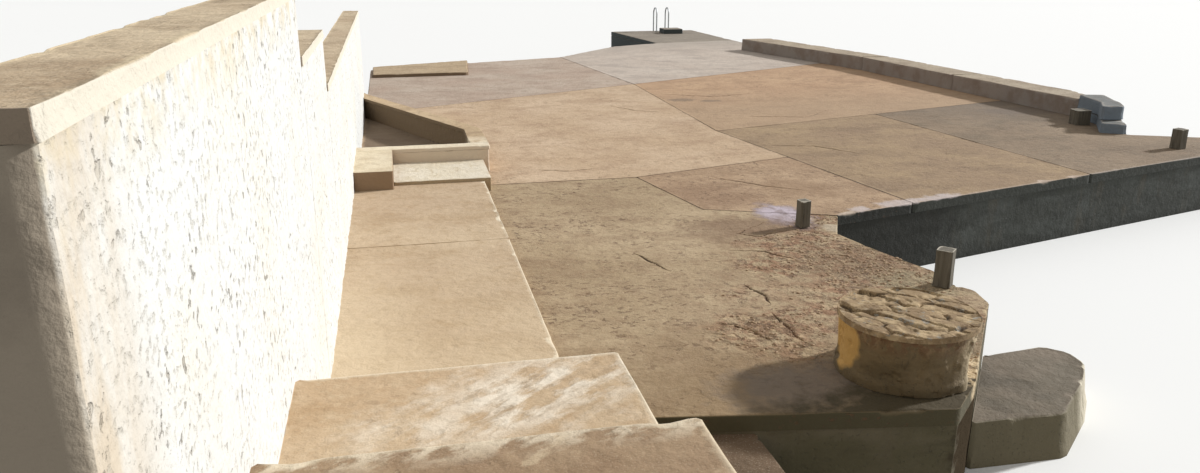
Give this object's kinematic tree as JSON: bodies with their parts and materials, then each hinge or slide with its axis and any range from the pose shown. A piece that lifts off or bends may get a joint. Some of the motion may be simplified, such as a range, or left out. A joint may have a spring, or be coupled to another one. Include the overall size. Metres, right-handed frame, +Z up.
{
  "type": "concrete harbour jetty",
  "caption": "Low concrete harbour jetty with skewed wing and head, white stone retaining wall, steps, planter, mooring drum and posts, seaward parapet and bathing ladder.",
  "frame": {"origin": "centre of the whole jetty in plan, at the foot of the quay", "axes": "+Y runs out along the jetty from the steps to the head, +X from the retaining wall to the tip of the wing, +Z up"},
  "size_m": [13.56, 30.608, 3.38],
  "materials": {
    "mass_concrete": "weathered sea-stained mass concrete",
    "step_concrete": "worn sandy concrete",
    "walkway_concrete": "floated sandy concrete",
    "deck_concrete": "stained and spalled concrete",
    "pale_concrete": "pale floated concrete",
    "parapet_concrete": "rough brown concrete",
    "white_rubble": "white split stone in lime mortar",
    "coping_stone": "sandy coping stone",
    "planter_stone": "sandy rendered stone",
    "drum_concrete": "dark stained concrete with old ochre paint",
    "drum_mortar": "cracked flaky mortar",
    "post_timber": "grey weathered timber",
    "ladder_steel": "dull galvanised tube"
  },
  "bodies": {
    "root": {"core_near": "mass_concrete", "core_wing": "mass_concrete", "core_middle": "mass_concrete", "core_far": "mass_concrete", "side_landing": "step_concrete", "upper_landing": "step_concrete", "lower_landing": "step_concrete", "flight": "step_concrete", "wall_bay_1": "white_rubble", "wall_bay_2": "white_rubble", "wall_bay_3": "white_rubble", "coping_1": "coping_stone", "coping_2": "coping_stone", "coping_3": "coping_stone", "walkway_near": "walkway_concrete", "walkway_far": "walkway_concrete", "flat_step": "pale_concrete", "seat_block": "planter_stone", "planter_front": "planter_stone", "planter_side": "planter_stone", "slab_near": "deck_concrete", "slab_middle": "deck_concrete", "slab_wing_inner": "deck_concrete", "slab_wing_outer": "deck_concrete", "slab_left": "deck_concrete", "slab_centre": "deck_concrete", "slab_far_left": "deck_concrete", "slab_pale": "pale_concrete", "head_block": "deck_concrete", "mooring_drum": "drum_concrete", "drum_cap": "drum_mortar", "post_near": "post_timber", "post_basin": "post_timber", "post_tip": "post_timber", "post_stub": "post_timber", "corner_ledge": "mass_concrete", "parapet_bay_1": "parapet_concrete", "parapet_bay_2": "parapet_concrete", "parapet_bay_3": "parapet_concrete", "parapet_end": "parapet_concrete", "far_kerb": "pale_concrete", "ladder_plinth": "pale_concrete", "ladder_frame": "ladder_steel", "ladder_treads": "ladder_steel"}
  },
  "joints": []
}
